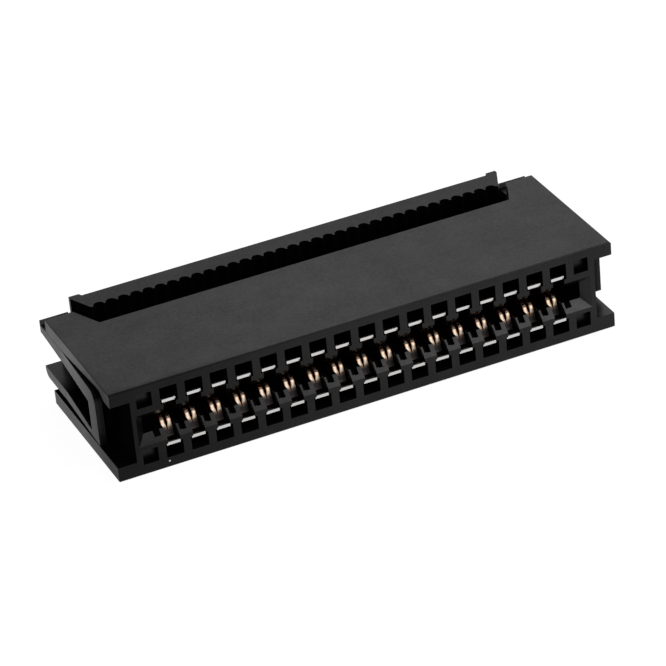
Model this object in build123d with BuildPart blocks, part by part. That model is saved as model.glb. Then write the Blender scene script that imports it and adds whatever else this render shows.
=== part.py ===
from build123d import *
import os

# A card edge connector for flat ribbon cable. A moulded housing takes the edge of a
# circuit board in the slot in its front face. Two rows of sprung contacts touch the
# board, and their forked tails stand out of the back, where a cover presses the cable
# onto them. All sizes are in millimetres. X runs along the slot, Y from the front face
# to the back, and Z up. The origin is the middle of the slot's mouth.

# Contact layout
columns = 17
pitch = 2.54
row_height = 2.34

# Housing outside
housing_depth = 16.4
housing_height = 9.5
top_plate = 1.4
base_plate = 1.6
plate_overhang = 1.9
corner_run = 1.6
corner_drop = 0.25
edge_chamfer = 0.13

# Cable notch in the back edge of both plates, measured from the last contacts
notch_depth = 3.3
notch_end = 1.43
notch_flare = 1.45

# Card slot, with its lead-in at the mouth
card_thickness = 1.57
card_clearance = 0.15
slot_end = 2.63
slot_depth = 8.0
lead_in = 0.85
core_end_wall = 1.3

# Contact cavities
cavity_width = 1.75
cavity_top_wall = 0.85
cavity_base_wall = 1.1
cavity_depth = 8.8
throat_width = 1.25
channel_clearance = 0.03

# Narrow pockets that hollow the heads of the ribs between the throats
rib_pocket_width = 0.4
rib_pocket_front = 0.35
rib_pocket_back = 7.4
rib_pocket_depth = 1.15

# Blind pockets at the ends of both contact rows
pocket_offset = 2.455
pocket_width = 1.55
pocket_height = 1.5
pocket_depth = 0.8

# Relief under the ends of the top plate
relief_rise = 0.65
relief_back = 12.0
relief_full = 3.5
relief_front = 2.5
relief_lip = 1.5
relief_inset = 0.65

# Catches on the core's ends, which hold the pressed cover
catch_reach = 1.1
catch_front = 3.9
catch_land = 0.5
catch_ramp = 1.6
catch_height = 1.6

# Contacts
stock = 0.3
tip_start = 0.2
tip_land = 0.85
tip_end = 1.25
tip_width = 1.36
bump_front = 2.2
bump_corner = 0.43
tip_bend_reach = 0.2
tip_bend_drop = 0.24
bump_radius = 0.75
bump_flats = 5
beam_end_gap = 0.2
beam_width = 1.04
beam_taper = 0.15
prong_start = 1.45
prong_full = 1.78
prong_root = 1.2
prong_gap = 0.28
tail_width = 1.3
tail_gap = 0.05
tail_step_gap = 0.05
fork_reach = 2.1
fork_slot = 0.34
fork_mouth = 0.7
fork_mouth_depth = 0.3
fork_root = 0.35

# Ribbon cable
wire_pitch = pitch / 2
groove_radius = 0.56
groove_facets = 10

# Cover, standing open as it is before the cable is pressed in
cover_travel = 1.6
pressed_gap = 0.45
notch_clearance = 0.15
bar_depth = 2.6
bar_rise = 0.6
bar_foot = 0.4
end_pad_length = 1.04
end_pad_slope = 0.2
end_pad_rise = 0.39
fork_side_gap = 0.05
fork_face_gap = 0.25
fork_tip_gap = 0.15

# Legs of the cover
plate_clearance = 0.05
core_clearance = 0.2
leg_base_gap = 0.85
leg_root_depth = 5.64
leg_splay = 0.35
leg_thickness = 0.7
leg_corner = 0.8
tip_bridge = 2.1
catch_play = 0.15
window_root_gap = 0.5
strap_front = 1.78
strap_root = 1.12
strap_back = 0.9
sill_front = 0.6
sill_root = 1.05
sill_back = 1.05

# Worked-out sizes of the housing
half_height = housing_height / 2
contact_span = (columns - 1) * pitch
slot_length = contact_span + 2 * slot_end
core_half = slot_length / 2 + core_end_wall
half_length = core_half + plate_overhang
core_depth = housing_depth - notch_depth
notch_front_half = contact_span / 2 + notch_end
notch_back_half = notch_front_half + notch_flare
top_underside = half_height - top_plate
base_upside = base_plate - half_height
slot_height = card_thickness + card_clearance
ledge_height = row_height - stock / 2
cavity_top = half_height - cavity_top_wall
cavity_base = cavity_base_wall - half_height

# Worked-out sizes of the contacts
beam_end = cavity_depth - beam_end_gap
prong_end = beam_end - prong_root
fork_start = core_depth + tail_gap
tail_step = core_depth + pressed_gap - tail_step_gap
tail_back = fork_start + fork_reach
fork_centre = -wire_pitch / 2
fork_half = tail_width / 2

# Worked-out sizes of the cover
bar_front = core_depth + pressed_gap + cover_travel
bar_back = bar_front + bar_depth
bar_bottom = bar_foot - half_height
bar_height = housing_height + bar_rise - bar_foot
bar_front_half = notch_front_half + notch_flare * pressed_gap / notch_depth - notch_clearance
bar_back_half = bar_front_half + notch_flare * bar_depth / notch_depth
fork_pocket_depth = tail_back - core_depth - pressed_gap + fork_tip_gap
leg_top = top_underside - plate_clearance
leg_bottom = base_upside + leg_base_gap
leg_height = leg_top - leg_bottom
leg_back = bar_back + end_pad_rise
leg_root_front = leg_back - leg_root_depth
leg_root_inner = core_half + core_clearance
window_root = leg_root_front - window_root_gap
window_front = catch_front + cover_travel - catch_play
leg_tip = window_front - tip_bridge
shoulder_front = housing_depth + plate_clearance

# Outline of both plates, seen from above
with BuildSketch() as plate_outline:
    with BuildLine():
        Polyline(
            (0, 0),
            (half_length, 0),
            (half_length, housing_depth - corner_drop),
            (half_length - corner_run, housing_depth),
            (notch_back_half, housing_depth),
            (notch_front_half, core_depth),
            (0, core_depth),
        )
        mirror(about=Plane.YZ)
    make_face()

# Housing: two plates and the core between them, with all its cavities
with BuildPart() as housing:
    with BuildSketch(Plane.XY.offset(-half_height)):
        add(plate_outline.sketch)
    extrude(amount=base_plate)
    with BuildSketch(Plane.XY.offset(top_underside)):
        add(plate_outline.sketch)
    extrude(amount=top_plate)
    chamfer(housing.faces().sort_by(Axis.Z)[-1].edges(), length=edge_chamfer)
    chamfer(housing.faces().sort_by(Axis.Z)[0].edges(), length=edge_chamfer)
    with BuildSketch(Plane.XY.offset(base_upside)):
        with Locations((0, core_depth / 2)):
            Rectangle(2 * core_half, core_depth)
    extrude(amount=top_underside - base_upside)

    # Catches, with a ramp at the back and a square face at the front
    for side in (-1, 1):
        with BuildSketch(Plane.XY.offset(-catch_height / 2)):
            with BuildLine():
                Polyline(
                    (side * core_half, catch_front),
                    (side * (core_half + catch_reach), catch_front),
                    (side * (core_half + catch_reach), catch_front + catch_land),
                    (side * core_half, catch_front + catch_land + catch_ramp),
                    close=True,
                )
            make_face()
        extrude(amount=catch_height)

    # Relief under the ends of the top plate
    for side in (-1, 1):
        with BuildSketch(Plane.YZ.offset(side * (core_half + relief_inset))):
            with BuildLine():
                Polyline(
                    (relief_back, top_underside),
                    (relief_full, top_underside + relief_rise),
                    (relief_front, top_underside + relief_rise),
                    (relief_lip, top_underside),
                    close=True,
                )
            make_face()
        extrude(amount=side * plate_overhang, mode=Mode.SUBTRACT)

    # Card slot and its lead-in
    with BuildSketch(Plane.XZ):
        Rectangle(slot_length, slot_height)
    extrude(amount=-slot_depth, mode=Mode.SUBTRACT)
    front_face = housing.faces().sort_by(Axis.Y)[0]
    chamfer(front_face.inner_wires()[0].edges(), length=lead_in)

    # Cavities above and below the slot, joined to it by narrower throats
    with BuildSketch(Plane.XZ):
        with GridLocations(pitch, 0, columns, 1):
            with Locations((0, (ledge_height + cavity_top) / 2)):
                Rectangle(cavity_width, cavity_top - ledge_height)
            with Locations((0, (cavity_base - ledge_height) / 2)):
                Rectangle(cavity_width, -ledge_height - cavity_base)
    extrude(amount=-cavity_depth, mode=Mode.SUBTRACT)
    with BuildSketch(Plane.XZ):
        with GridLocations(pitch, 0, columns, 1):
            Rectangle(throat_width, 2 * ledge_height)
    extrude(amount=-cavity_depth, mode=Mode.SUBTRACT)

    # Pockets in the heads of the ribs, open to the slot
    with BuildSketch(Plane.XZ.offset(-rib_pocket_front)):
        with GridLocations(pitch, 0, columns - 1, 1):
            Rectangle(rib_pocket_width, slot_height + 2 * rib_pocket_depth)
    extrude(amount=rib_pocket_front - rib_pocket_back, mode=Mode.SUBTRACT)

    # Channels that hold the contacts' tails
    with BuildSketch(Plane.XZ):
        with GridLocations(pitch, 2 * row_height, columns, 2):
            Rectangle(tail_width + 2 * channel_clearance, stock + 2 * channel_clearance)
    extrude(amount=-core_depth, mode=Mode.SUBTRACT)

    # Blind pockets beside the last contacts
    with BuildSketch(Plane.XZ):
        with GridLocations(contact_span + 2 * pocket_offset, 0, 2, 1):
            with Locations((0, cavity_top - pocket_height / 2)):
                Rectangle(pocket_width, pocket_height)
            with Locations((0, cavity_base + pocket_height / 2)):
                Rectangle(pocket_width, pocket_height)
    extrude(amount=-pocket_depth, mode=Mode.SUBTRACT)

# Round of the contact's bump, pressed in a few flats
with BuildLine() as bump_round:
    Polyline(
        (tip_end + tip_bend_reach, row_height - tip_bend_drop),
        (bump_front, bump_corner),
        (beam_end, row_height),
    )
    fillet(bump_round.vertices().sort_by(Axis.Y)[0], radius=bump_radius)
bump_arc = bump_round.edges().filter_by(GeomType.CIRCLE)[0]
bump_points = [bump_arc @ (flat / bump_flats) for flat in range(bump_flats + 1)]

# Contact of the upper row at X = 0: a tip on its ledge, a sprung bump cut into two
# prongs, a beam, and a flat tail that ends in a fork for one wire
with BuildPart() as contact:
    with BuildSketch(Plane.YZ):
        with BuildLine():
            Polyline(
                (tip_start, row_height),
                (tip_end, row_height),
                (tip_end + tip_bend_reach, row_height - tip_bend_drop),
                *[(point.X, point.Y) for point in bump_points],
                (beam_end, row_height),
                (tail_back, row_height),
            )
        trace(line_width=stock)
    extrude(amount=pitch, both=True)

    # Flat pattern of the strip, seen from above
    with BuildSketch(Plane.XY):
        with BuildLine():
            Polyline(
                (-tip_width / 2, 0),
                (-tip_width / 2, tip_start + tip_land - beam_taper),
                (-beam_width / 2, tip_start + tip_land),
                (-beam_width / 2, beam_end),
                (-tail_width / 2, beam_end + beam_taper),
                (-tail_width / 2, fork_start),
                (fork_centre - fork_half, fork_start),
                (fork_centre - fork_half, tail_back),
                (fork_centre - fork_mouth / 2, tail_back),
                (fork_centre - fork_slot / 2, tail_back - fork_mouth_depth),
                (fork_centre - fork_slot / 2, fork_start + fork_root),
                (fork_centre + fork_slot / 2, fork_start + fork_root),
                (fork_centre + fork_slot / 2, tail_back - fork_mouth_depth),
                (fork_centre + fork_mouth / 2, tail_back),
                (fork_centre + fork_half, tail_back),
                (fork_centre + fork_half, tail_step),
                (tail_width / 2, tail_step),
                (tail_width / 2, beam_end + beam_taper),
                (beam_width / 2, beam_end),
                (beam_width / 2, tip_start + tip_land),
                (tip_width / 2, tip_start + tip_land - beam_taper),
                (tip_width / 2, 0),
                close=True,
            )
        make_face()
        with BuildLine():
            Polyline(
                (0, prong_start),
                (prong_gap / 2, prong_full),
                (prong_gap / 2, prong_end),
                (-prong_gap / 2, prong_end),
                (-prong_gap / 2, prong_full),
                close=True,
            )
        make_face(mode=Mode.SUBTRACT)
    extrude(amount=half_height, mode=Mode.INTERSECT)

# Right leg of the cover: a root bar and a sprung frame, open at the back for a
# strain relief clip
with BuildPart() as leg:
    with BuildSketch(Plane.YZ) as leg_side:
        with BuildLine():
            Polyline(
                (leg_tip, leg_bottom),
                (leg_back, leg_bottom),
                (leg_back, leg_bottom + sill_back),
                (window_root, leg_bottom + sill_root),
                (window_front, leg_bottom + sill_front),
                (window_front, leg_top - strap_front),
                (window_root, leg_top - strap_root),
                (leg_back, leg_top - strap_back),
                (leg_back, leg_top),
                (leg_tip, leg_top),
                close=True,
            )
        make_face()
        fillet(leg_side.vertices().sort_by(Axis.Y)[0:2].sort_by(Axis.Z)[-1], radius=leg_corner)
    extrude(amount=2 * half_length)
    with BuildSketch(Plane.XY.offset(leg_bottom)):
        with BuildLine():
            Polyline(
                (half_length, leg_back),
                (half_length, leg_root_front),
                (half_length + leg_splay, leg_tip),
                (half_length + leg_splay - leg_thickness, leg_tip),
                (half_length - leg_thickness, leg_root_front),
                (leg_root_inner, leg_root_front),
                (leg_root_inner, leg_back),
                close=True,
            )
        make_face()
    extrude(amount=leg_height, mode=Mode.INTERSECT)

# Cover: the clamping bar, its shoulders behind the housing's plates, the two legs, a
# groove for each wire and a pocket for each fork
with BuildPart() as cover:
    with BuildSketch(Plane.XY.offset(bar_bottom)):
        with BuildLine():
            Polyline(
                (0, bar_front),
                (bar_front_half, bar_front),
                (bar_back_half, bar_back),
                (bar_back_half, leg_back),
                (bar_back_half - end_pad_length, leg_back),
                (bar_back_half - end_pad_length - end_pad_slope, bar_back),
                (0, bar_back),
            )
            mirror(about=Plane.YZ)
        make_face()
    extrude(amount=bar_height)

    # Shoulders from the end pads out to the legs
    for side in (-1, 1):
        with BuildSketch(Plane.XY.offset(leg_bottom)):
            with BuildLine():
                Polyline(
                    (side * bar_front_half, shoulder_front),
                    (side * leg_root_inner, shoulder_front),
                    (side * leg_root_inner, leg_back),
                    (side * (bar_back_half - end_pad_length), leg_back),
                    close=True,
                )
            make_face()
        extrude(amount=leg_height)
    add(leg.part)
    mirror(leg.part, about=Plane.YZ)

    # Grooves for the wires and pockets for the forks
    with BuildSketch(Plane.XY.offset(bar_bottom)):
        with Locations((0, bar_front)):
            with GridLocations(wire_pitch, 0, 2 * columns, 1):
                RegularPolygon(groove_radius, groove_facets)
    extrude(amount=bar_height, mode=Mode.SUBTRACT)
    with BuildSketch(Plane.XZ.offset(-bar_front)):
        with Locations((fork_centre, row_height), (-fork_centre, -row_height)):
            with GridLocations(pitch, 0, columns, 1):
                Rectangle(tail_width + 2 * fork_side_gap, stock + 2 * fork_face_gap)
    extrude(amount=-fork_pocket_depth, mode=Mode.SUBTRACT)

os.makedirs("parts", exist_ok=True)
housing.part.label = "housing"
export_step(housing.part, "parts/housing.step")
cover.part.label = "cover"
export_step(cover.part, "parts/cover.step")

# The lower row is the upper row turned half a turn about the Y axis
for column in range(columns):
    x = column * pitch - contact_span / 2
    upper = Pos(x, 0, 0) * contact.part
    upper.label = f"upper_contact_{column + 1:02d}"
    export_step(upper, f"parts/{upper.label}.step")
    lower = Pos(x, 0, 0) * Rot(0, 180, 0) * contact.part
    lower.label = f"lower_contact_{column + 1:02d}"
    export_step(lower, f"parts/{lower.label}.step")
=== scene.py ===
import logging
import math
from dataclasses import dataclass
from enum import Enum
from typing import Dict, Tuple, Union

import bmesh
import bpy
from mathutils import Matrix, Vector

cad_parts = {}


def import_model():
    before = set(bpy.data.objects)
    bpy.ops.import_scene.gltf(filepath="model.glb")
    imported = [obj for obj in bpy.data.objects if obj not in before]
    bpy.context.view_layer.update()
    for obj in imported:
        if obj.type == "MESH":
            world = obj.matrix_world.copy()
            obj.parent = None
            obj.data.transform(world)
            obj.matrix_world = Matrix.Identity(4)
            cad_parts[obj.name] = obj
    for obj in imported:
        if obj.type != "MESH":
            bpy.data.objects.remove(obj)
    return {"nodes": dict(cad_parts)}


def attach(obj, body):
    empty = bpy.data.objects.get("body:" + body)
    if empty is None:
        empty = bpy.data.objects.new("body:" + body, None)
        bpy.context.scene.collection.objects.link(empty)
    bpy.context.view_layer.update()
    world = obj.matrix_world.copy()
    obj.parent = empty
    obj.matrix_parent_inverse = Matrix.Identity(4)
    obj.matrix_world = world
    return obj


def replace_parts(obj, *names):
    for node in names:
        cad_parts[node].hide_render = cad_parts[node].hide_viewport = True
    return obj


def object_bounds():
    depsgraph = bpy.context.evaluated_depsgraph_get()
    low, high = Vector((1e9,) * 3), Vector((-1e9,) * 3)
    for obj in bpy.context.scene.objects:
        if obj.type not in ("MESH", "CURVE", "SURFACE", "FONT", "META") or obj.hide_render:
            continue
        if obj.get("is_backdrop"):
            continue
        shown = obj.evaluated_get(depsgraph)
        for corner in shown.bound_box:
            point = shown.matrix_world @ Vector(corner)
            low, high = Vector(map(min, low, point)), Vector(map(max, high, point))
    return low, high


LOG = logging.getLogger("card_edge_connector")

MM_IN_A_METRE = 1000.0
DOUBLES_DISTANCE = 1e-7

Colour = Tuple[float, float, float]
Point = Tuple[float, float, float]
Span = Tuple[float, float]
Socket = bpy.types.NodeSocket
Value = Union[float, Tuple[float, ...], Socket]


def grey(level: float) -> Colour:
    """Give a neutral colour of a linear brightness from 0 to 1."""
    return (level, level, level)


def metres(point: Point) -> Point:
    """Turn three lengths in millimetres into metres."""
    return (point[0] / MM_IN_A_METRE, point[1] / MM_IN_A_METRE, point[2] / MM_IN_A_METRE)


class Row(Enum):
    """The two rows of contacts, by the start of their nodes' names."""

    UPPER = "upper_contact_"
    LOWER = "lower_contact_"


class Side(Enum):
    """The two ends of the connector, by the sign of X there."""

    LEFT = -1.0
    RIGHT = 1.0


class Graph:
    """A small helper that adds nodes and links to one node tree."""

    def __init__(self, tree: bpy.types.NodeTree) -> None:
        """Keep the tree of a material, a world or a node group, and clear it."""
        self.tree = tree
        tree.nodes.clear()

    def node(self, kind: str, **values: object) -> bpy.types.Node:
        """Add a node.

        Args:
            kind: The node's Blender type, such as ShaderNodeMath.
            **values: Properties of the node that are set on it.

        Returns:
            The new node.
        """
        made = self.tree.nodes.new(kind)
        for name, value in values.items():
            setattr(made, name, value)
        return made

    def put(self, value: Value, socket: Socket) -> None:
        """Link an output to an input, or set the input to a plain value.

        Args:
            value: An output socket, a number, a place or a colour.
            socket: The input that gets it.
        """
        if isinstance(value, bpy.types.NodeSocket):
            self.tree.links.new(value, socket)
        elif socket.type == "RGBA":
            socket.default_value = (*value, 1.0)
        else:
            socket.default_value = value

    def feed(self, node: bpy.types.Node, **inputs: Value) -> None:
        """Set or link inputs by name.

        Args:
            node: The node whose inputs are given.
            **inputs: Input names, with underscores for spaces, and what each one gets.
        """
        for name, value in inputs.items():
            self.put(value, node.inputs[name.replace("_", " ")])

    def maths(self, operation: str, *values: Value) -> Socket:
        """Add a Math node.

        Args:
            operation: What it does, such as MULTIPLY.
            *values: Its inputs in order.

        Returns:
            The result.
        """
        made = self.node("ShaderNodeMath", operation=operation)
        for socket, value in zip(made.inputs, values):
            self.put(value, socket)
        return made.outputs["Value"]

    def vector_maths(self, operation: str, first: Value, second: Value) -> Socket:
        """Add a Vector Math node whose result is a vector.

        Args:
            operation: What it does, such as SUBTRACT.
            first: Its first vector.
            second: Its second vector.

        Returns:
            The result.
        """
        made = self.node("ShaderNodeVectorMath", operation=operation)
        self.put(first, made.inputs[0])
        self.put(second, made.inputs[1])
        return made.outputs["Vector"]

    def ramp(self, value: Value, start: float, end: float, low: Value = 0.0, high: Value = 1.0) -> Socket:
        """Add a Map Range node.

        Args:
            value: What is measured.
            start: The measure at which the ramp begins.
            end: The measure at which it ends.
            low: The result up to the start.
            high: The result from the end on.

        Returns:
            The result.
        """
        made = self.node("ShaderNodeMapRange")
        self.feed(made, Value=value, From_Min=start, From_Max=end, To_Min=low, To_Max=high)
        return made.outputs["Result"]

    def blend(self, share: Value, first: Value, second: Value) -> Socket:
        """Mix two colours.

        Args:
            share: How much of the second colour shows, from 0 to 1.
            first: The colour at 0.
            second: The colour at 1.

        Returns:
            The mixed colour.
        """
        made = self.node("ShaderNodeMix", data_type="RGBA")
        self.put(share, made.inputs[0])
        self.put(first, made.inputs[6])
        self.put(second, made.inputs[7])
        return made.outputs[2]

    def choose(self, share: Value, first: Value, second: Value) -> Socket:
        """Mix two numbers.

        Args:
            share: How much of the second number counts, from 0 to 1.
            first: The number at 0.
            second: The number at 1.

        Returns:
            The mixed number.
        """
        made = self.node("ShaderNodeMix", data_type="FLOAT")
        self.put(share, made.inputs[0])
        self.put(first, made.inputs[2])
        self.put(second, made.inputs[3])
        return made.outputs[0]

    def place(self) -> Socket:
        """Give the place on the piece, in metres."""
        return self.node("ShaderNodeTexCoord").outputs["Object"]

    def axes(self, place: Socket) -> bpy.types.NodeOutputs:
        """Split a place.

        Args:
            place: The place to split.

        Returns:
            Its X, Y and Z outputs.
        """
        made = self.node("ShaderNodeSeparateXYZ")
        self.put(place, made.inputs[0])
        return made.outputs

    def noise(self, scale: Value, detail: float, roughness: float = 0.5) -> Socket:
        """Add noise that lies fixed on the piece.

        Args:
            scale: How many bumps there are to a metre.
            detail: How many finer layers are added.
            roughness: How strong the finer layers are.

        Returns:
            The noise, around 0.5.
        """
        made = self.node("ShaderNodeTexNoise")
        self.feed(made, Vector=self.place(), Scale=scale, Detail=detail, Roughness=roughness)
        return made.outputs["Fac"]


class SharedEffects:
    """The surface effects that more than one material uses, as shader node groups."""

    CLOUD_DETAIL = 4.0
    CLOUD_ROUGHNESS = 0.6
    GRAIN_DETAIL = 2.0
    RUBBED_FROM = 0.35
    RUBBED_TO = 0.7
    DUST_EDGE_SCALE = 9000.0
    DUST_EDGE_DETAIL = 2.0

    def __init__(self) -> None:
        """Build each group once."""
        self.moulded_skin = self._moulded_skin()
        self.speck = self._speck()
        self.hollow = self._painted_hollow_shade()

    @staticmethod
    def _group(
        name: str, inputs: Dict[str, Tuple[str, object]], outputs: Dict[str, str]
    ) -> bpy.types.NodeTree:
        """Make an empty group with named sockets.

        Args:
            name: The group's name.
            inputs: Socket name to its type and default value.
            outputs: Socket name to its type.

        Returns:
            The new group.
        """
        group = bpy.data.node_groups.new(name, "ShaderNodeTree")
        for label, (kind, value) in inputs.items():
            socket = group.interface.new_socket(name=label, in_out="INPUT", socket_type=kind)
            socket.default_value = value
        for label, kind in outputs.items():
            group.interface.new_socket(name=label, in_out="OUTPUT", socket_type=kind)
        return group

    def _moulded_skin(self) -> bpy.types.NodeTree:
        """Make the skin of moulded black plastic: fine grain, soft flow clouds and rubbed patches.

        Returns:
            The group, with Colour, Roughness, Gloss and Height outputs.
        """
        group = self._group(
            "moulded skin",
            {
                "Base": ("NodeSocketColor", (0.03, 0.03, 0.03, 1.0)),
                "Rubbed": ("NodeSocketColor", (0.05, 0.05, 0.05, 1.0)),
                "Roughness": ("NodeSocketFloat", 0.5),
                "Roughness Spread": ("NodeSocketFloat", 0.1),
                "Gloss Spread": ("NodeSocketFloat", 0.2),
                "Grain Size": ("NodeSocketFloat", 9000.0),
                "Cloud Size": ("NodeSocketFloat", 220.0),
            },
            {
                "Colour": "NodeSocketColor",
                "Roughness": "NodeSocketFloat",
                "Gloss": "NodeSocketFloat",
                "Height": "NodeSocketFloat",
            },
        )
        g = Graph(group)
        given = g.node("NodeGroupInput").outputs
        out = g.node("NodeGroupOutput")
        cloud = g.noise(given["Cloud Size"], self.CLOUD_DETAIL, self.CLOUD_ROUGHNESS)
        grain = g.noise(given["Grain Size"], self.GRAIN_DETAIL)
        patch = g.ramp(cloud, self.RUBBED_FROM, self.RUBBED_TO)
        colour = g.blend(patch, given["Base"], given["Rubbed"])
        cloud_swing = g.maths("SUBTRACT", cloud, 0.5)
        roughness = g.maths("MULTIPLY_ADD", cloud_swing, given["Roughness Spread"], given["Roughness"])
        both_swing = g.maths("SUBTRACT", g.maths("ADD", cloud, grain), 1.0)
        gloss = g.maths("MULTIPLY_ADD", both_swing, given["Gloss Spread"], 1.0)
        g.feed(out, Colour=colour, Roughness=roughness, Gloss=gloss, Height=grain)
        return group

    def _speck(self) -> bpy.types.NodeTree:
        """Make one pale speck of dust at a given place.

        Returns:
            The group, with a Colour output.
        """
        group = self._group(
            "dust speck",
            {
                "Base": ("NodeSocketColor", (0.03, 0.03, 0.03, 1.0)),
                "Dust Colour": ("NodeSocketColor", (0.6, 0.6, 0.6, 1.0)),
                "Place": ("NodeSocketVector", (0.0, 0.0, 0.0)),
                "Radius": ("NodeSocketFloat", 0.0001),
            },
            {"Colour": "NodeSocketColor"},
        )
        g = Graph(group)
        given = g.node("NodeGroupInput").outputs
        out = g.node("NodeGroupOutput")
        ragged = g.noise(self.DUST_EDGE_SCALE, self.DUST_EDGE_DETAIL)
        reach = g.maths("MULTIPLY", given["Radius"], g.maths("ADD", ragged, 0.5))
        away = g.node("ShaderNodeVectorMath", operation="DISTANCE")
        g.put(g.place(), away.inputs[0])
        g.put(given["Place"], away.inputs[1])
        near = g.maths("LESS_THAN", away.outputs["Value"], reach)
        g.feed(out, Colour=g.blend(near, given["Base"], given["Dust Colour"]))
        return group

    def _painted_hollow_shade(self) -> bpy.types.NodeTree:
        """Make the share of gloss that is left in a box-shaped hollow, where painted shade takes it away,
        with its mirror image or repeats.

        X is folded at Shift, so that the box stands there as its own mirror image, and again at every
        step of Repeat from there.

        Returns:
            The group, with a Gloss output that is the Gloss input less what the painted shade in the hollow
            takes.
        """
        group = self._group(
            "painted hollow shade",
            {
                "Gloss": ("NodeSocketFloat", 1.0),
                "Low": ("NodeSocketVector", (0.0, 0.0, 0.0)),
                "High": ("NodeSocketVector", (0.0, 0.0, 0.0)),
                "Fade": ("NodeSocketVector", (0.00001, 0.00001, 0.00001)),
                "Loss": ("NodeSocketFloat", 1.0),
                "Shift": ("NodeSocketFloat", 0.0),
                "Repeat": ("NodeSocketFloat", 1.0),
            },
            {"Gloss": "NodeSocketFloat"},
        )
        g = Graph(group)
        given = g.node("NodeGroupInput").outputs
        out = g.node("NodeGroupOutput")
        axes = g.axes(g.place())
        side = g.maths("PINGPONG", g.maths("SUBTRACT", axes["X"], given["Shift"]), given["Repeat"])
        folded = g.node("ShaderNodeCombineXYZ")
        g.feed(folded, X=side, Y=axes["Y"], Z=axes["Z"])
        below = g.vector_maths("SUBTRACT", given["Low"], folded.outputs["Vector"])
        above = g.vector_maths("SUBTRACT", folded.outputs["Vector"], given["High"])
        beyond = g.vector_maths("MAXIMUM", below, above)
        steps = g.axes(g.vector_maths("DIVIDE", beyond, given["Fade"]))
        farthest = g.maths("MAXIMUM", g.maths("MAXIMUM", steps["X"], steps["Y"]), steps["Z"])
        inside = g.ramp(farthest, 0.0, 1.0, 1.0, 0.0)
        kept = g.maths("SUBTRACT", 1.0, g.maths("MULTIPLY", inside, given["Loss"]))
        g.feed(out, Gloss=g.maths("MULTIPLY", given["Gloss"], kept))
        return group


@dataclass(frozen=True)
class ShadedHollow:
    """A box in millimetres where painted shade takes away the plastic's gloss, with its mirror image or
    repeats.

    Attributes:
        low: The box's near lower corner, with X counted from shift.
        high: The box's far upper corner.
        fade: How far past the box the gloss takes to come back.
        loss: The share of gloss that is lost inside.
        shift: The X about which the box is mirrored.
        repeat: The step along X at which the box turns back; the default is past the object.
    """

    low: Point
    high: Point
    fade: Point = (0.012, 0.012, 0.012)
    loss: float = 1.0
    shift: float = 0.0
    repeat: float = 1000.0


@dataclass(frozen=True)
class Speck:
    """A speck of dust, with its place and radius in millimetres."""

    place: Point
    radius: float = 0.09


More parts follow.
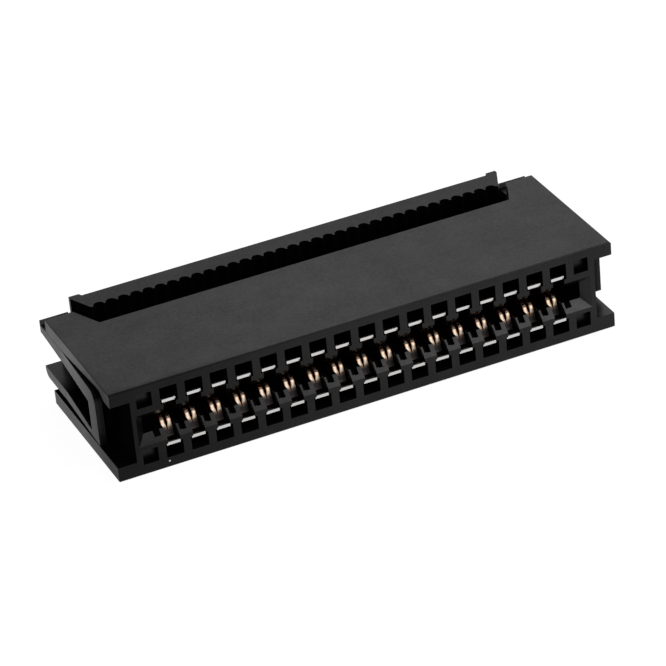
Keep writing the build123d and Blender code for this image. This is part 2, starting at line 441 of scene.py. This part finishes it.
@dataclass(frozen=True)
class MouldedPlastic:
    """Black glass-filled plastic as it leaves the mould, with lengths in millimetres.

    Attributes:
        name: The material's name.
        base: Its colour.
        rubbed: Its colour where it was rubbed; in the flanges' lighter copy it also holds painted light.
        roughness: How soft its reflections are.
        spread: How much the flow clouds change that.
        mottle: How much clouds and grain change the gloss.
        grain: How many grains there are to a metre.
        cloud: How many flow clouds there are to a metre.
        bump: How strong the grain's relief is.
        bump_height: How high the grain's relief is.
        gloss_index: The refractive index of the glossy skin.
        gloss_front_left: The gloss on the front face at the left end, lowered as painted shade.
        gloss_left: The gloss behind the front face at the left end, lowered as painted shade.
        gloss_right: The gloss from the middle to the right.
        gloss_end_front: The gloss on the left end face near the front, lowered as painted shade.
        gloss_end: The gloss on the left end face farther back.
        front_depth: From where to where behind the front face the left gloss grows.
        left_reach: From where to where along X the gloss grows.
        end_depth: From where to where along Y the end face's gloss grows.
        end_face: The X beyond which a surface belongs to the left end face.
        hollows: Where painted shade takes away the gloss.
        specks: The dust on it.
    """

    name: str
    base: Colour
    rubbed: Colour
    roughness: float = 0.3
    spread: float = 0.1
    mottle: float = 0.5
    grain: float = 3500.0
    cloud: float = 240.0
    bump: float = 0.08
    bump_height: float = 0.02
    gloss_index: float = 1.36
    gloss_front_left: float = 0.48
    gloss_left: float = 0.77
    gloss_right: float = 0.9
    gloss_end_front: float = 0.45
    gloss_end: float = 0.8
    front_depth: Span = (0.03, 0.8)
    left_reach: Span = (-26.0, -4.0)
    end_depth: Span = (2.0, 8.5)
    end_face: float = -26.1
    hollows: Tuple[ShadedHollow, ...] = ()
    specks: Tuple[Speck, ...] = ()

    def build(self, effects: SharedEffects) -> bpy.types.Material:
        """Make the material.

        Args:
            effects: The shared surface effects.

        Returns:
            The finished material.
        """
        material = bpy.data.materials.new(self.name)
        material.use_nodes = True
        g = Graph(material.node_tree)
        out = g.node("ShaderNodeOutputMaterial")
        shader = g.node("ShaderNodeBsdfPrincipled")
        g.feed(shader, Specular_IOR_Level=0.0, Coat_IOR=self.gloss_index, Coat_Roughness=self.roughness)
        skin = g.node("ShaderNodeGroup", node_tree=effects.moulded_skin)
        g.feed(skin, Base=self.base, Rubbed=self.rubbed, Roughness=self.roughness)
        g.feed(skin, Roughness_Spread=self.spread, Gloss_Spread=self.mottle)
        g.feed(skin, Grain_Size=self.grain, Cloud_Size=self.cloud)
        gloss = g.maths("MULTIPLY", self._gloss(g, effects), skin.outputs["Gloss"])
        bump = g.node("ShaderNodeBump")
        g.feed(bump, Height=skin.outputs["Height"], Strength=self.bump)
        g.feed(bump, Distance=self.bump_height / MM_IN_A_METRE)
        g.feed(shader, Base_Color=self._dusted(g, effects, skin.outputs["Colour"]))
        g.feed(shader, Roughness=skin.outputs["Roughness"], Coat_Weight=gloss, Normal=bump.outputs["Normal"])
        g.put(shader.outputs["BSDF"], out.inputs["Surface"])
        return material

    def _dusted(self, g: Graph, effects: SharedEffects, colour: Socket) -> Socket:
        """Lay the specks of dust on a colour.

        Args:
            g: The material's graph.
            effects: The shared surface effects.
            colour: The clean plastic's colour.

        Returns:
            The colour with its dust.
        """
        for speck in self.specks:
            spot = g.node("ShaderNodeGroup", node_tree=effects.speck)
            g.feed(spot, Base=colour, Place=metres(speck.place), Radius=speck.radius / MM_IN_A_METRE)
            colour = spot.outputs["Colour"]
        return colour

    def _gloss(self, g: Graph, effects: SharedEffects) -> Socket:
        """Work out the gloss from the place on the piece, with painted shade towards the left end, near the
        front and in the hollows.

        Args:
            g: The material's graph.
            effects: The shared surface effects.

        Returns:
            The gloss before it is mottled.
        """
        axes = g.axes(g.place())
        # Painted shade: less gloss towards the left end, at the front face and near the front of the left end
        # face.
        left = self._grows(g, axes["Y"], self.front_depth, self.gloss_front_left, self.gloss_left)
        along = self._grows(g, axes["X"], self.left_reach, left, self.gloss_right)
        end = self._grows(g, axes["Y"], self.end_depth, self.gloss_end_front, self.gloss_end)
        at_end = g.maths("LESS_THAN", axes["X"], self.end_face / MM_IN_A_METRE)
        gloss = g.choose(at_end, along, end)
        # Painted shade in each hollow: its box takes gloss away.
        for hollow in self.hollows:
            painted_dim = g.node("ShaderNodeGroup", node_tree=effects.hollow)
            g.feed(painted_dim, Gloss=gloss, Low=metres(hollow.low), High=metres(hollow.high))
            g.feed(painted_dim, Fade=metres(hollow.fade), Loss=hollow.loss)
            g.feed(painted_dim, Shift=hollow.shift / MM_IN_A_METRE, Repeat=hollow.repeat / MM_IN_A_METRE)
            gloss = painted_dim.outputs["Gloss"]
        return gloss

    @staticmethod
    def _grows(g: Graph, along: Socket, reach: Span, low: Value, high: Value) -> Socket:
        """Let a gloss grow along one axis, over a reach in millimetres."""
        return g.ramp(along, reach[0] / MM_IN_A_METRE, reach[1] / MM_IN_A_METRE, low, high)


@dataclass(frozen=True)
class StampedStrip:
    """Stamped copper alloy strip, gold plated where it touches the board, with lengths in millimetres.

    Attributes:
        name: The material's name.
        tin: The colour of the lip at the very front.
        painted_shade: The colour behind the lip, a painted shade for the dark that the steep part mirrors.
        painted_dim: The colour of the slope up to the touching bump, a painted dim reflection.
        gold: The colour of the touching bump.
        copper: The colour of the strip deep in the housing.
        edge: The colour of the prongs' cut edges.
        painted_shade_from: From where to where along Y tin turns to painted shade.
        painted_dim_from: From where to where the painted shade turns to the painted dim reflection.
        touch_start: Where the gold starts.
        touch_fade: How far the gold takes to start.
        copper_from: From where to where gold turns to copper.
        waver: How far the bands' borders wander.
        waver_scale: How many wanderings there are to a metre.
        pitch: The distance from one contact to the next.
        prong_centre: The distance from a contact's middle to the middle of a prong.
        prong_half: Half the width of a prong.
        prong_from: From where to where along Y the prongs begin.
        edge_share: From which to which share of the half width the edge's colour comes in.
        roughness: How soft the reflections are.
        scuff: How much scuffs take from the roughness and add to it.
        scuff_scale: How many scuffs there are to a metre.
        scuff_range: The noise between which the scuffs go from smooth to rough.
        bump: How strong the scuffs' relief is.
        bump_height: How high the scuffs' relief is.
        detail: How many finer layers the noises have.
    """

    name: str
    tin: Colour = (0.7, 0.69, 0.675)
    painted_shade: Colour = (0.03, 0.026, 0.025)
    painted_dim: Colour = (0.085, 0.072, 0.063)
    gold: Colour = (0.97, 0.84, 0.66)
    copper: Colour = (0.42, 0.17, 0.085)
    edge: Colour = (0.42, 0.16, 0.07)
    painted_shade_from: Span = (0.38, 0.46)
    painted_dim_from: Span = (1.47, 1.54)
    touch_start: float = 1.58
    touch_fade: float = 0.1
    copper_from: Span = (2.0, 2.5)
    waver: float = 0.1
    waver_scale: float = 1800.0
    pitch: float = 2.54
    prong_centre: float = 0.33
    prong_half: float = 0.19
    prong_from: Span = (1.5, 1.8)
    edge_share: Span = (0.35, 0.9)
    roughness: float = 0.32
    scuff: Span = (0.08, 0.1)
    scuff_scale: float = 4000.0
    scuff_range: Span = (0.3, 0.7)
    bump: float = 0.05
    bump_height: float = 0.02
    detail: float = 3.0

    def build(self) -> bpy.types.Material:
        """Make the material, whose plating changes along the strip.

        Returns:
            The finished material.
        """
        material = bpy.data.materials.new(self.name)
        material.use_nodes = True
        g = Graph(material.node_tree)
        out = g.node("ShaderNodeOutputMaterial")
        shader = g.node("ShaderNodeBsdfPrincipled")
        axes = g.axes(g.place())
        colour = g.blend(self._cut_edge(g, axes), self._plating_and_painted_shade(g, axes), self.edge)
        scuff = g.noise(self.scuff_scale, self.detail)
        smoothest = self.roughness - self.scuff[0]
        roughest = self.roughness + self.scuff[1]
        roughness = g.ramp(scuff, *self.scuff_range, smoothest, roughest)
        bump = g.node("ShaderNodeBump")
        g.feed(bump, Height=scuff, Strength=self.bump, Distance=self.bump_height / MM_IN_A_METRE)
        g.feed(shader, Base_Color=colour, Metallic=1.0, Roughness=roughness, Normal=bump.outputs["Normal"])
        g.put(shader.outputs["BSDF"], out.inputs["Surface"])
        return material

    def _plating_and_painted_shade(self, g: Graph, axes: bpy.types.NodeOutputs) -> Value:
        """Band the strip from front to back with its platings, and with painted shade and a painted dim
        reflection behind the lip.

        Args:
            g: The material's graph.
            axes: The place on the strip.

        Returns:
            The colour of the strip's face.
        """
        swing = g.maths("SUBTRACT", g.noise(self.waver_scale, self.detail), 0.5)
        along = g.maths("MULTIPLY_ADD", swing, self.waver / MM_IN_A_METRE, axes["Y"])
        colour: Value = self.tin
        # Tin, then painted shade and a painted dim reflection, then gold and copper plating.
        for (start, end), after in (
            (self.painted_shade_from, self.painted_shade),
            (self.painted_dim_from, self.painted_dim),
            ((self.touch_start, self.touch_start + self.touch_fade), self.gold),
            (self.copper_from, self.copper),
        ):
            band = g.ramp(along, start / MM_IN_A_METRE, end / MM_IN_A_METRE)
            colour = g.blend(band, colour, after)
        return colour

    def _cut_edge(self, g: Graph, axes: bpy.types.NodeOutputs) -> Socket:
        """Find the bare cut edges of the prongs.

        Args:
            g: The material's graph.
            axes: The place on the strip.

        Returns:
            A mask that is 1 on the edges.
        """
        half_pitch = self.pitch / 2.0 / MM_IN_A_METRE
        half_width = self.prong_half / MM_IN_A_METRE
        side = g.maths("ABSOLUTE", g.maths("WRAP", axes["X"], half_pitch, -half_pitch))
        across = g.maths("ABSOLUTE", g.maths("SUBTRACT", side, self.prong_centre / MM_IN_A_METRE))
        rolled = g.ramp(across, half_width * self.edge_share[0], half_width * self.edge_share[1])
        first, last = self.prong_from
        prong = g.ramp(axes["Y"], first / MM_IN_A_METRE, last / MM_IN_A_METRE)
        return g.maths("MULTIPLY", rolled, prong)


HOUSING_PLASTIC = MouldedPlastic(
    "housing plastic",
    base=grey(0.0012),
    rubbed=grey(0.0022),
    # Painted shade: each box takes gloss away where the recesses, the slot, the cavities, the pockets and the
    # front chamfer lie in shade.
    hollows=(
        # The left end's recess between the plates
        ShadedHollow((0.0, -0.1, -3.17), (0.965, 17.0, 3.37), shift=-25.165),
        # The relief under the end of the top plate
        ShadedHollow((0.0, 1.5, 3.3), (0.625, 12.1, 4.02), shift=-25.505),
        # The upper side of the slot's mouth
        ShadedHollow((0.0, 0.01, 0.85), (20.9, 0.9, 1.78), fade=(0.7, 0.012, 0.012), loss=0.65),
        # The slot and what lies behind the ribs
        ShadedHollow((0.0, 0.9, -3.95), (23.3, 13.0, 3.95), loss=0.85),
        # The cavities of the upper and of the lower row
        ShadedHollow((0.0, 0.03, 1.8), (22.0, 1.0, 3.93)),
        ShadedHollow((0.0, 0.03, -3.68), (22.0, 1.0, -1.8)),
        # The blind pockets at the ends of the rows
        ShadedHollow((21.9, 0.03, 1.81), (23.7, 0.77, 3.9)),
        ShadedHollow((21.9, 0.03, -3.9), (23.7, 0.77, -1.81)),
        # The pockets in the lower ribs' heads, and the strip on their left
        ShadedHollow((0.0, 0.4, -1.8), (0.325, 0.95, -0.5), shift=1.145, repeat=1.27),
        # The chamfer along the top plate's front edge
        ShadedHollow((0.0, -0.05, 4.6), (27.0, 0.128, 4.76), loss=0.6),
    ),
    specks=(Speck((-21.0, 0.0, -4.05)),),
)

COVER_PLASTIC = MouldedPlastic(
    "cover plastic",
    base=grey(0.0012),
    rubbed=grey(0.002),
    gloss_left=0.62,
    gloss_right=0.68,
    # Painted shade: each box takes gloss away where the legs' windows and the cable grooves lie in shade.
    hollows=(
        # The window in each leg
        ShadedHollow((24.0, 5.0, -2.5), (26.12, 12.0, 3.2), fade=(0.012, 3.0, 0.012)),
        # The cable grooves, and the steps from them to the end pads
        ShadedHollow((0.0, 15.0, -5.0), (22.0, 15.74, 5.33)),
        ShadedHollow((21.7, 15.0, -5.0), (23.2, 17.73, 5.33)),
    ),
    specks=(Speck((-26.12, 3.45, 3.3)),),
)

# Painted light: a much lighter copy of the cover plastic, for the back flanges, that paints their lit faces.
LIT_COVER_PLASTIC = MouldedPlastic(
    "painted light cover plastic",
    base=grey(0.05),
    rubbed=grey(0.07),
    gloss_left=0.62,
)

# Painted shade: a darker copy of the strip for the upper row, which lies in shade; its gold starts farther
# back, out of sight.
SHADED_UPPER_STRIP = StampedStrip(
    "shaded upper contact strip",
    touch_start=2.4,
    painted_dim=(0.03, 0.013, 0.009),
    copper=(0.12, 0.035, 0.018),
    edge=(0.1, 0.03, 0.015),
)

LOWER_STRIP = StampedStrip("lower contact strip")


def dress(node: bpy.types.Object, material: bpy.types.Material) -> None:
    """Give a CAD node one material."""
    node.data.materials.clear()
    node.data.materials.append(material)


def merged_form(node: bpy.types.Object) -> bmesh.types.BMesh:
    """Copy a CAD node's mesh with its doubled vertices joined.

    Args:
        node: The node's object, which isn't changed.

    Returns:
        The copy, in metres, with flat faces.
    """
    form = bmesh.new()
    form.from_mesh(node.data)
    bmesh.ops.remove_doubles(form, verts=form.verts, dist=DOUBLES_DISTANCE)
    for face in form.faces:
        face.smooth = False
    return form


def moulded_piece(
    name: str, form: bmesh.types.BMesh, material: bpy.types.Material, body: str
) -> bpy.types.Object:
    """Turn a mesh into a piece that rides on one of the two mouldings.

    Args:
        name: The piece's name.
        form: Its mesh, which is freed.
        material: Its material.
        body: The body that it rides on.

    Returns:
        The new object.
    """
    bmesh.ops.triangulate(form, faces=form.faces)
    bmesh.ops.recalc_face_normals(form, faces=form.faces)
    mesh = bpy.data.meshes.new(name)
    form.to_mesh(mesh)
    form.free()
    mesh.materials.append(material)
    piece = bpy.data.objects.new(name, mesh)
    bpy.context.scene.collection.objects.link(piece)
    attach(piece, body)
    LOG.info("%s: moulded plastic", name)
    return piece


@dataclass(frozen=True)
class PlateShape:
    """The plates' back corners, which the photograph shows square, in millimetres.

    Attributes:
        side_from: The distance from the middle beyond which a vertex is at an end.
        back_from: The Y beyond which it is on the corner's cut.
        back_to: The Y up to which it is there.
        move: How far back it goes.
    """

    side_from: float = 25.9
    back_from: float = 15.9
    back_to: float = 16.2
    move: float = 0.25

    def refine(self, form: bmesh.types.BMesh) -> None:
        """Square the plates' back corners.

        Args:
            form: The housing's mesh, in metres, which is changed.
        """
        corners = [
            vert
            for vert in form.verts
            if abs(vert.co.x) * MM_IN_A_METRE > self.side_from
            and self.back_from < vert.co.y * MM_IN_A_METRE < self.back_to
        ]
        bmesh.ops.translate(form, verts=corners, vec=metres((0.0, self.move, 0.0)))


@dataclass
class Housing:
    """The moulded housing with its two plates and the slotted core."""

    node: str = "housing"
    slot: str = "housing_plastic"
    plates: PlateShape = PlateShape()
    plastic: MouldedPlastic = HOUSING_PLASTIC

    def build(self, nodes: Dict[str, bpy.types.Object], effects: SharedEffects) -> None:
        """Make the shell that stands for the solid.

        Args:
            nodes: The CAD nodes by name.
            effects: The shared surface effects.
        """
        material = self.plastic.build(effects)
        dress(nodes[self.node], material)
        form = merged_form(nodes[self.node])
        self.plates.refine(form)
        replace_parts(moulded_piece("housing_shell", form, material, self.node), self.node)


@dataclass(frozen=True)
class Shift:
    """A band of heights that moves up or down, in millimetres."""

    low: float
    high: float
    rise: float


@dataclass(frozen=True)
class LegShape:
    """The legs' outline where the photograph differs from the solid, in millimetres.

    Attributes:
        front: The Y of a leg's front edge.
        top: The height of its upper edge there.
        reach: How near to both a vertex is on that corner.
        corner: The radius that rounds it.
        corner_steps: How many flats the rounding has.
        ends_from: The distance from the middle beyond which a vertex is on a leg.
        strap_root: How the strap's underside moves at its root.
        strap_back: How it moves at its back.
        flat_angle: The angle in radians below which faces count as one flat.
    """

    front: float = 3.25
    top: float = 3.3
    reach: float = 0.02
    corner: float = 1.2
    corner_steps: int = 6
    ends_from: float = 24.0
    strap_root: Shift = Shift(2.15, 2.25, -0.25)
    strap_back: Shift = Shift(2.39, 2.41, 0.12)
    flat_angle: float = 0.002

    def refine(self, form: bmesh.types.BMesh) -> None:
        """Slim the straps over the windows and round the legs' upper front corners.

        Args:
            form: The cover's mesh, in metres, which is changed.
        """
        bmesh.ops.dissolve_limit(form, angle_limit=self.flat_angle, verts=form.verts, edges=form.edges)
        for shift in (self.strap_root, self.strap_back):
            band = [
                vert
                for vert in form.verts
                if shift.low < vert.co.z * MM_IN_A_METRE < shift.high
                and abs(vert.co.x) * MM_IN_A_METRE > self.ends_from
            ]
            bmesh.ops.translate(form, verts=band, vec=metres((0.0, 0.0, shift.rise)))
        corners = [edge for edge in form.edges if all(self._at_corner(vert) for vert in edge.verts)]
        bmesh.ops.bevel(
            form,
            geom=corners,
            offset=self.corner / MM_IN_A_METRE,
            offset_type="OFFSET",
            segments=self.corner_steps,
            profile=0.5,
            affect="EDGES",
            clamp_overlap=False,
            material=-1,
        )

    def _at_corner(self, vert: bmesh.types.BMVert) -> bool:
        """Tell whether a vertex lies on the upper front edge of a leg.

        Args:
            vert: A vertex of the cover's mesh.

        Returns:
            True when it lies there.
        """
        ahead = abs(vert.co.y * MM_IN_A_METRE - self.front)
        above = abs(vert.co.z * MM_IN_A_METRE - self.top)
        return ahead < self.reach and above < self.reach


@dataclass
class Cover:
    """The grooved cable cover with its two sprung legs and its back flanges.

    Attributes:
        node: The CAD node, which is also the body that moves.
        slot: A material slot's name, which is not used.
        legs: The legs' outline.
        flange_low: The near lower corner of the right flange, in millimetres.
        flange_high: The far upper corner of the right flange, in millimetres.
        plastic: The cover's plastic.
        flange_plastic: The flanges' plastic, a lighter copy that holds painted light.
    """

    node: str = "cover"
    slot: str = "cover_plastic"
    legs: LegShape = LegShape()
    flange_low: Point = (23.2, 18.03, 3.2)
    flange_high: Point = (26.15, 18.14, 3.8)
    plastic: MouldedPlastic = COVER_PLASTIC
    flange_plastic: MouldedPlastic = LIT_COVER_PLASTIC

    def build(self, nodes: Dict[str, bpy.types.Object], effects: SharedEffects) -> None:
        """Make the shell that stands for the solid, and the flanges behind its shoulders.

        Args:
            nodes: The CAD nodes by name.
            effects: The shared surface effects.
        """
        material = self.plastic.build(effects)
        dress(nodes[self.node], material)
        form = merged_form(nodes[self.node])
        self.legs.refine(form)
        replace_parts(moulded_piece("cover_shell", form, material, self.node), self.node)
        # The flanges get the lighter copy of the plastic, which paints the light on them.
        rubbed = self.flange_plastic.build(effects)
        for side in Side:
            name = f"{side.name.lower()}_back_flange"
            moulded_piece(name, self._flange(side), rubbed, self.node)

    def _flange(self, side: Side) -> bmesh.types.BMesh:
        """Make the thin flange that stands up behind one shoulder.

        Args:
            side: The end that it stands at.

        Returns:
            The flange's mesh.
        """
        low = Vector(metres(self.flange_low))
        high = Vector(metres(self.flange_high))
        middle = (low + high) / 2.0
        form = bmesh.new()
        bmesh.ops.create_cube(form, size=1.0)
        bmesh.ops.scale(form, verts=form.verts, vec=high - low)
        bmesh.ops.translate(form, verts=form.verts, vec=(side.value * middle.x, middle.y, middle.z))
        return form


@dataclass
class Contacts:
    """Both rows of sprung contacts."""

    columns: int = 17
    upper: StampedStrip = SHADED_UPPER_STRIP
    lower: StampedStrip = LOWER_STRIP

    def build(self, nodes: Dict[str, bpy.types.Object]) -> None:
        """Dress each contact of both rows.

        Args:
            nodes: The CAD nodes by name.
        """
        for row, strip in ((Row.UPPER, self.upper), (Row.LOWER, self.lower)):
            material = strip.build()
            for column in range(1, self.columns + 1):
                name = f"{row.value}{column:02d}"
                dress(nodes[name], material)
                LOG.info("%s: plated strip", name)


@dataclass(frozen=True)
class Softbox:
    """A square area lamp, in metres and watts.

    Attributes:
        name: The lamp's name.
        place: Where it hangs.
        target: The point that it looks at.
        size: The length of its side.
        power: Its power.
    """

    name: str
    place: Point
    target: Point
    size: float
    power: float

    def build(self) -> None:
        """Hang the lamp."""
        data = bpy.data.lights.new(self.name, "AREA")
        data.size = self.size
        data.energy = self.power
        lamp = bpy.data.objects.new(self.name, data)
        lamp.location = self.place
        aim = Vector(self.target) - Vector(self.place)
        lamp.rotation_euler = aim.to_track_quat("-Z", "Y").to_euler()
        bpy.context.scene.collection.objects.link(lamp)


@dataclass(frozen=True)
class FloorPaper:
    """White paper that glows a little, so that it stays white and keeps the shadow.

    Attributes:
        paper: How much light the paper gives back to the object.
        camera_glow: Its glow as the camera sees it.
        camera_shade: How much of the light and the shadow the camera sees on it.
        glossy_glow: Its glow in the plastic's reflections.
        glossy_shade: How much of the light the reflections see on it.
    """

    paper: float = 0.9
    camera_glow: float = 0.93
    camera_shade: float = 0.12
    glossy_glow: float = 0.5
    glossy_shade: float = 0.45

    def build(self) -> bpy.types.Material:
        """Make the material.

        Returns:
            The finished material.
        """
        material = bpy.data.materials.new("floor paper")
        material.use_nodes = True
        g = Graph(material.node_tree)
        out = g.node("ShaderNodeOutputMaterial")
        path = g.node("ShaderNodeLightPath")
        surface = self._matt(g, self.paper)
        for ray, shade, glow in (
            ("Is Glossy Ray", self.glossy_shade, self.glossy_glow),
            ("Is Camera Ray", self.camera_shade, self.camera_glow),
        ):
            lit = g.node("ShaderNodeEmission")
            g.feed(lit, Color=grey(1.0), Strength=glow)
            seen = g.node("ShaderNodeAddShader")
            g.put(self._matt(g, shade), seen.inputs[0])
            g.put(lit.outputs["Emission"], seen.inputs[1])
            mix = g.node("ShaderNodeMixShader")
            g.put(path.outputs[ray], mix.inputs[0])
            g.put(surface, mix.inputs[1])
            g.put(seen.outputs["Shader"], mix.inputs[2])
            surface = mix.outputs["Shader"]
        g.put(surface, out.inputs["Surface"])
        return material

    @staticmethod
    def _matt(g: Graph, level: float) -> Socket:
        """Add a matt surface.

        Args:
            g: The material's graph.
            level: How much light it gives back.

        Returns:
            The surface's shader.
        """
        made = g.node("ShaderNodeBsdfDiffuse")
        g.feed(made, Color=grey(level))
        return made.outputs["BSDF"]


@dataclass(frozen=True)
class Studio:
    """The pale world, the floor, the lamp and the camera, in metres.

    Attributes:
        floor_size: The length of the floor's side.
        paper: What the floor is made of.
        world_strength: How strongly the world lights the object.
        key: The lamp.
        camera_place: Where the camera stands.
        camera_turn_deg: How it is turned, in degrees.
        camera_lens_mm: Its focal length.
        camera_shift: How its picture is shifted.
        camera_clip: The nearest and the farthest that it sees.
    """

    floor_size: float = 6.0
    paper: FloorPaper = FloorPaper()
    world_strength: float = 0.75
    key: Softbox = Softbox("key softbox", (0.345, -0.22, 0.48), (0.0, 0.008, 0.0), 0.3, 1.3)
    camera_place: Point = (-0.113518, -0.271317, 0.175862)
    camera_turn_deg: Point = (59.48263, 4.73576, -24.87649)
    camera_lens_mm: float = 196.05
    camera_shift: Span = (-0.00075, 0.00075)
    camera_clip: Span = (0.01, 20.0)

    def build(self, floor_level: float) -> None:
        """Set up the studio around the object.

        Args:
            floor_level: The height at which the object rests.
        """
        self._world()
        self._floor(floor_level)
        self.key.build()
        self._camera()
        bpy.context.scene.view_settings.view_transform = "Standard"

    def _world(self) -> None:
        """Make a pale world that camera and glossy rays see as white."""
        world = bpy.data.worlds.new("studio")
        bpy.context.scene.world = world
        world.use_nodes = True
        g = Graph(world.node_tree)
        out = g.node("ShaderNodeOutputWorld")
        path = g.node("ShaderNodeLightPath")
        light = g.node("ShaderNodeBackground")
        g.feed(light, Color=grey(1.0), Strength=self.world_strength)
        white = g.node("ShaderNodeBackground")
        g.feed(white, Color=grey(1.0), Strength=1.0)
        mix = g.node("ShaderNodeMixShader")
        g.put(g.maths("MAXIMUM", path.outputs["Is Camera Ray"], path.outputs["Is Glossy Ray"]), mix.inputs[0])
        g.put(light.outputs["Background"], mix.inputs[1])
        g.put(white.outputs["Background"], mix.inputs[2])
        g.put(mix.outputs["Shader"], out.inputs["Surface"])

    def _floor(self, level: float) -> None:
        """Make the plain floor that keeps the shadow.

        Args:
            level: Its height.
        """
        mesh = bpy.data.meshes.new("floor")
        form = bmesh.new()
        bmesh.ops.create_grid(form, x_segments=1, y_segments=1, size=self.floor_size / 2.0)
        bmesh.ops.translate(form, verts=form.verts, vec=(0.0, 0.0, level))
        form.to_mesh(mesh)
        form.free()
        mesh.materials.append(self.paper.build())
        floor = bpy.data.objects.new("floor", mesh)
        bpy.context.scene.collection.objects.link(floor)
        floor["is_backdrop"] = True

    def _camera(self) -> None:
        """Make the camera at the photograph's viewing angle."""
        data = bpy.data.cameras.new("camera")
        data.lens = self.camera_lens_mm
        data.shift_x, data.shift_y = self.camera_shift
        data.clip_start, data.clip_end = self.camera_clip
        camera = bpy.data.objects.new("camera", data)
        camera.location = self.camera_place
        camera.rotation_euler = [math.radians(turn) for turn in self.camera_turn_deg]
        bpy.context.scene.collection.objects.link(camera)
        bpy.context.scene.camera = camera


def main() -> None:
    """Load the frame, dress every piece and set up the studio."""
    logging.basicConfig(level=logging.INFO, format="%(message)s")
    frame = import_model()
    cad_box = [list(corner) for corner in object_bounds()]
    nodes = frame["nodes"]
    effects = SharedEffects()
    Housing().build(nodes, effects)
    Cover().build(nodes, effects)
    Contacts().build(nodes)
    Studio().build(floor_level=cad_box[0][2])


if __name__ == "__main__":
    main()
